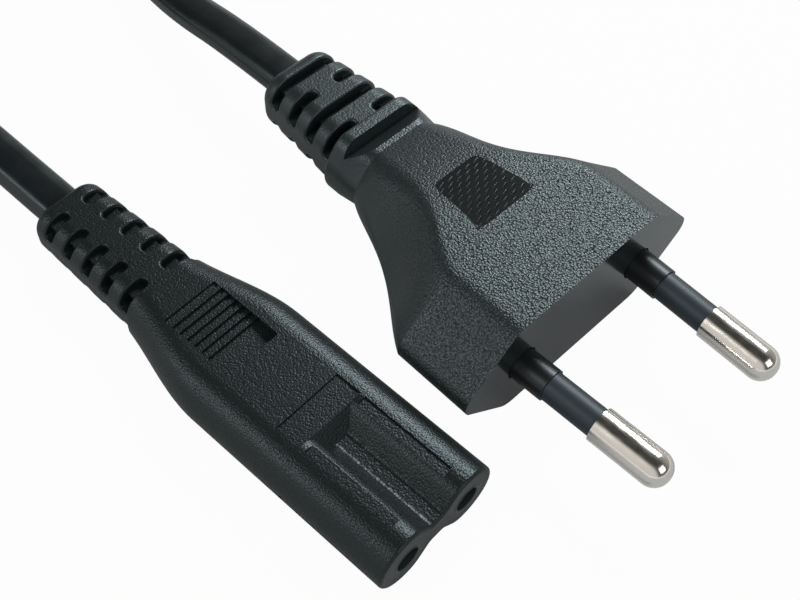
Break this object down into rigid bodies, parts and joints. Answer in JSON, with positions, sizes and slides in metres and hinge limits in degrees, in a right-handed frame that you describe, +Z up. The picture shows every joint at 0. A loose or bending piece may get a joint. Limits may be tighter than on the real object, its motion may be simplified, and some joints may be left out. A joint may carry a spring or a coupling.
{
  "type": "europlug mains lead",
  "caption": "Flat two-pin mains plug with converging half-sleeved pins and a ribbed strain relief, on a flat cord with a figure-of-eight appliance connector.",
  "frame": {"origin": "on the surface that the lead lies on, under the middle of the plug with its pins", "axes": "+X the way the plug's pins point, +Z up from the flat side it lies on"},
  "size_m": [0.1884, 0.0768, 0.0142],
  "materials": {
    "moulding": "spark-eroded grain",
    "inner_moulding": "smooth moulded",
    "sleeve": "satin moulded",
    "pin_metal": "nickel plated",
    "contact_metal": "tin plated",
    "copper": "bare strands",
    "brown_insulation": "extruded",
    "blue_insulation": "extruded",
    "cord_sheath": "extruded satin",
    "tie": "coated strip"
  },
  "bodies": {
    "root": {"plug_body": "moulding", "pin_carrier": "inner_moulding", "left_pin": "pin_metal", "right_pin": "pin_metal", "left_pin_sleeve": "sleeve", "right_pin_sleeve": "sleeve", "plug_brown_core": "brown_insulation", "plug_blue_core": "blue_insulation", "plug_brown_strands": "copper", "plug_blue_strands": "copper", "cord_plug_run": "cord_sheath", "cord_coil": "cord_sheath", "cord_connector_run": "cord_sheath", "cord_tie": "tie", "connector_body": "moulding", "contact_holder": "inner_moulding", "left_contact": "contact_metal", "right_contact": "contact_metal", "connector_brown_core": "brown_insulation", "connector_blue_core": "blue_insulation", "connector_brown_strands": "copper", "connector_blue_strands": "copper"}
  },
  "joints": []
}
